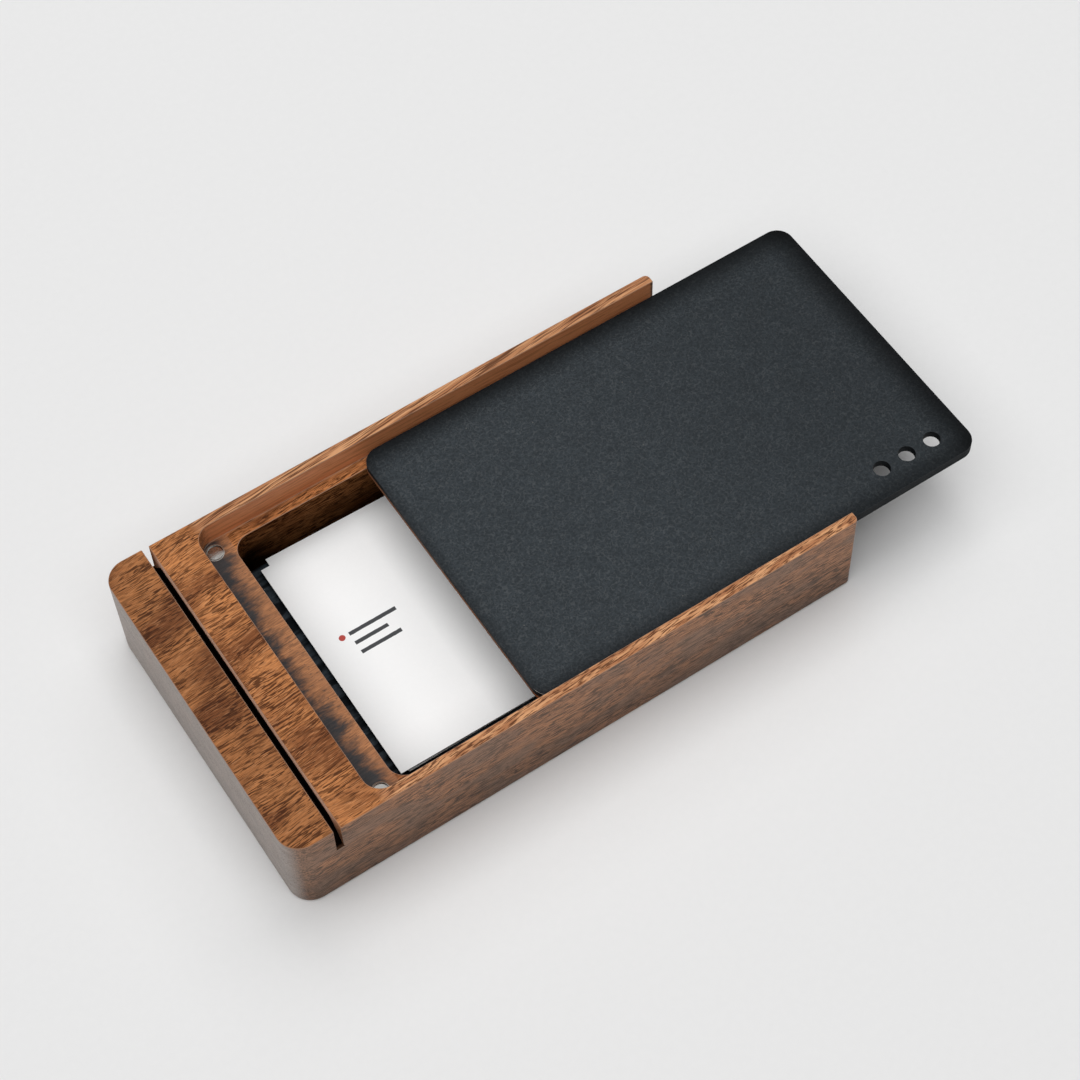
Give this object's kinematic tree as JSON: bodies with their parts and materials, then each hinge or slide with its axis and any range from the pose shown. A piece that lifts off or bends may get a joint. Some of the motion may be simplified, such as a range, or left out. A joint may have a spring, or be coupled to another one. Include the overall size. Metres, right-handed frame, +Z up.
{
  "type": "card box with sliding lid",
  "caption": "Milled walnut desk box for loose note cards, with a cross slot that stands a card up and a flat coated steel lid that slides on ledges between side rails.",
  "frame": {"origin": "middle of the underside of the base pad, on which the box rests, below the middle of the block", "axes": "+X along the block from the slot end to the open end, the way the lid slides out; +Y across to the back; +Z up"},
  "size_m": [0.2251, 0.102, 0.0325],
  "materials": {
    "walnut": "oiled walnut, satin",
    "coated_steel": "fine textured charcoal coating",
    "nickel": "nickel plate",
    "felt": "black wool felt",
    "base_rubber": "matt black non-slip sheet",
    "card_paper": "uncoated white card"
  },
  "bodies": {
    "box": {"box_body": "walnut", "magnet_back": "nickel", "magnet_front": "nickel", "felt_liner": "felt", "base_pad": "base_rubber", "card_1": "card_paper", "card_2": "card_paper", "card_3": "card_paper", "card_4": "card_paper", "card_5": "card_paper", "card_6": "card_paper"},
    "lid": {"lid": "coated_steel"}
  },
  "joints": [
    {"name": "lid_slide", "type": "slide", "parent": "box", "child": "lid", "axis": [1, 0, 0], "range_m": [-0.0518, 0.103]}
  ]
}
